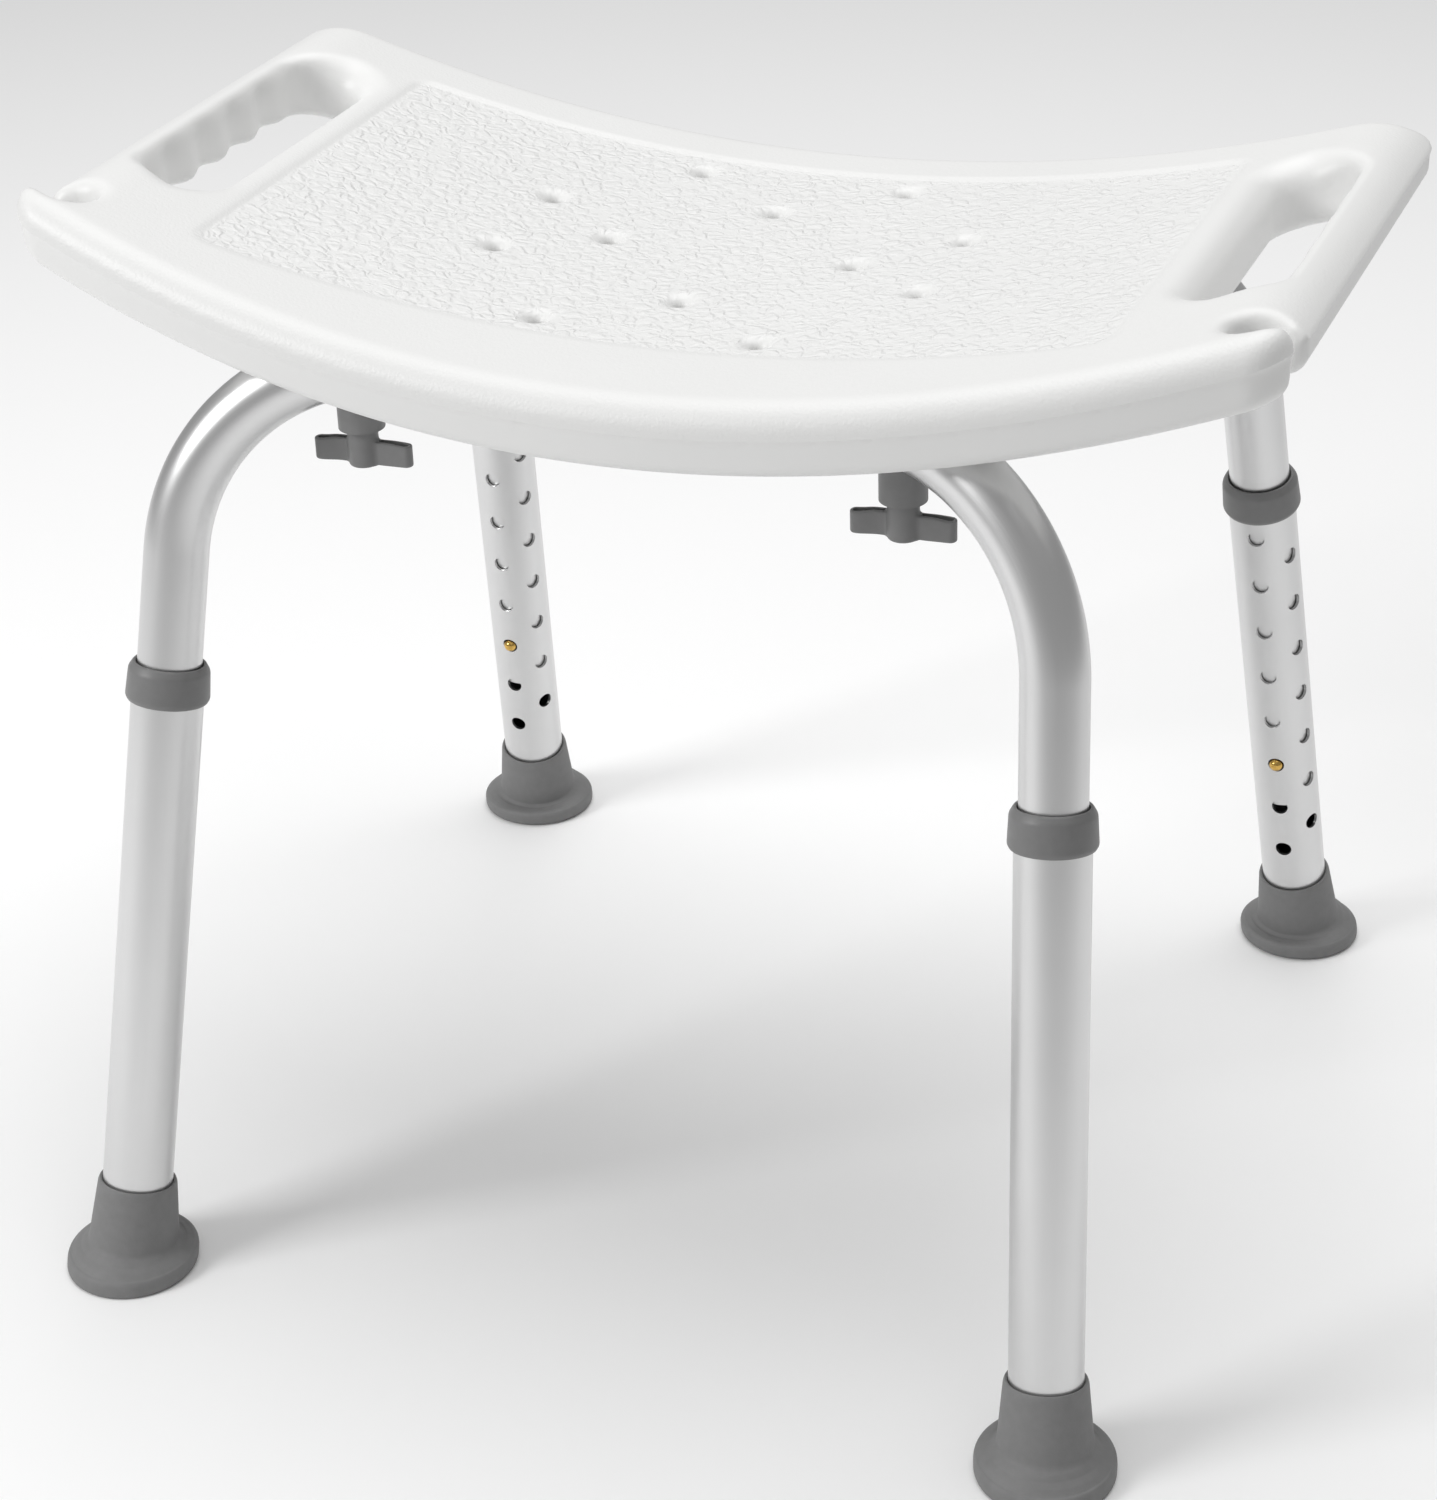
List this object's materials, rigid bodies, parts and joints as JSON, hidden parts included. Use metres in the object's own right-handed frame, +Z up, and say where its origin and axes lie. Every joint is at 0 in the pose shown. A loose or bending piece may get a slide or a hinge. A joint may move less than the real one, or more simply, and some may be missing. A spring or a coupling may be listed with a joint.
{
  "type": "shower stool",
  "caption": "Backless bath stool: saddle-shaped white plastic seat with hand holds and drain holes on splayed, height-adjustable tube legs with rubber feet.",
  "frame": {"origin": "on the floor, under the middle of the stool", "axes": "+Z up, +X along the seat's long side to the user's right as seen from the front, +Y from the bowed front edge to the back"},
  "size_m": [0.498, 0.4656, 0.4337],
  "materials": {
    "seat_plastic": "blow-moulded white polyethylene, fine grain with a leather-grain panel",
    "tube_aluminium": "satin anodised",
    "grey_rubber": "moulded, matt",
    "grey_plastic": "moulded, satin",
    "button_brass": "turned and polished",
    "zinc_steel": "zinc plated",
    "spring_steel": "blued spring steel"
  },
  "bodies": {
    "seat_frame": {"seat": "seat_plastic", "front_frame": "tube_aluminium", "rear_frame": "tube_aluminium", "join_washer_front": "zinc_steel", "join_washer_rear": "zinc_steel", "join_bolt": "zinc_steel", "join_nut": "zinc_steel", "saddle_washer_front_left": "grey_plastic", "seat_insert_front_left": "button_brass", "leaf_back_front_left": "spring_steel", "saddle_washer_front_right": "grey_plastic", "seat_insert_front_right": "button_brass", "leaf_back_front_right": "spring_steel", "saddle_washer_rear_left": "grey_plastic", "seat_insert_rear_left": "button_brass", "leaf_back_rear_left": "spring_steel", "saddle_washer_rear_right": "grey_plastic", "seat_insert_rear_right": "button_brass", "leaf_back_rear_right": "spring_steel"},
    "leg_front_left": {"lower_leg_front_left": "tube_aluminium", "leg_collar_front_left": "grey_plastic", "rubber_foot_front_left": "grey_rubber", "foot_disc_front_left": "zinc_steel"},
    "button_front_left": {"snap_button_front_left": "button_brass", "button_leaf_front_left": "spring_steel"},
    "knob_front_left": {"thumb_knob_front_left": "grey_plastic", "knob_stud_front_left": "zinc_steel"},
    "leg_front_right": {"lower_leg_front_right": "tube_aluminium", "leg_collar_front_right": "grey_plastic", "rubber_foot_front_right": "grey_rubber", "foot_disc_front_right": "zinc_steel"},
    "button_front_right": {"snap_button_front_right": "button_brass", "button_leaf_front_right": "spring_steel"},
    "knob_front_right": {"thumb_knob_front_right": "grey_plastic", "knob_stud_front_right": "zinc_steel"},
    "leg_rear_left": {"lower_leg_rear_left": "tube_aluminium", "leg_collar_rear_left": "grey_plastic", "rubber_foot_rear_left": "grey_rubber", "foot_disc_rear_left": "zinc_steel"},
    "button_rear_left": {"snap_button_rear_left": "button_brass", "button_leaf_rear_left": "spring_steel"},
    "knob_rear_left": {"thumb_knob_rear_left": "grey_plastic", "knob_stud_rear_left": "zinc_steel"},
    "leg_rear_right": {"lower_leg_rear_right": "tube_aluminium", "leg_collar_rear_right": "grey_plastic", "rubber_foot_rear_right": "grey_rubber", "foot_disc_rear_right": "zinc_steel"},
    "button_rear_right": {"snap_button_rear_right": "button_brass", "button_leaf_rear_right": "spring_steel"},
    "knob_rear_right": {"thumb_knob_rear_right": "grey_plastic", "knob_stud_rear_right": "zinc_steel"}
  },
  "joints": [
    {"name": "leg_front_left_slide", "type": "slide", "parent": "seat_frame", "child": "leg_front_left", "axis": [-0.0664, -0.2069, -0.9761], "range_m": [-0.025, 0.125]},
    {"name": "button_front_left_press", "type": "slide", "parent": "seat_frame", "child": "button_front_left", "axis": [0.014, -0.9784, 0.2065], "range_m": [0, 0.004], "stiffness_N_per_m": 1500, "springref_m": -0.003},
    {"name": "knob_front_left_turn", "type": "hinge", "parent": "seat_frame", "child": "knob_front_left", "pos_m": [-0.109, -0.1091, 0.34], "axis": [0, 0, 1], "continuous": true},
    {"name": "leg_front_right_slide", "type": "slide", "parent": "seat_frame", "child": "leg_front_right", "axis": [0.0664, -0.2069, -0.9761], "range_m": [-0.025, 0.125]},
    {"name": "button_front_right_press", "type": "slide", "parent": "seat_frame", "child": "button_front_right", "axis": [-0.014, -0.9784, 0.2065], "range_m": [0, 0.004], "stiffness_N_per_m": 1500, "springref_m": -0.003},
    {"name": "knob_front_right_turn", "type": "hinge", "parent": "seat_frame", "child": "knob_front_right", "pos_m": [0.109, -0.1091, 0.34], "axis": [0, 0, 1], "continuous": true},
    {"name": "leg_rear_left_slide", "type": "slide", "parent": "seat_frame", "child": "leg_rear_left", "axis": [-0.0664, 0.2069, -0.9761], "range_m": [-0.025, 0.125]},
    {"name": "button_rear_left_press", "type": "slide", "parent": "seat_frame", "child": "button_rear_left", "axis": [0.014, 0.9784, 0.2065], "range_m": [0, 0.004], "stiffness_N_per_m": 1500, "springref_m": -0.003},
    {"name": "knob_rear_left_turn", "type": "hinge", "parent": "seat_frame", "child": "knob_rear_left", "pos_m": [-0.109, 0.1091, 0.34], "axis": [0, 0, 1], "continuous": true},
    {"name": "leg_rear_right_slide", "type": "slide", "parent": "seat_frame", "child": "leg_rear_right", "axis": [0.0664, 0.2069, -0.9761], "range_m": [-0.025, 0.125]},
    {"name": "button_rear_right_press", "type": "slide", "parent": "seat_frame", "child": "button_rear_right", "axis": [-0.014, 0.9784, 0.2065], "range_m": [0, 0.004], "stiffness_N_per_m": 1500, "springref_m": -0.003},
    {"name": "knob_rear_right_turn", "type": "hinge", "parent": "seat_frame", "child": "knob_rear_right", "pos_m": [0.109, 0.1091, 0.34], "axis": [0, 0, 1], "continuous": true}
  ]
}
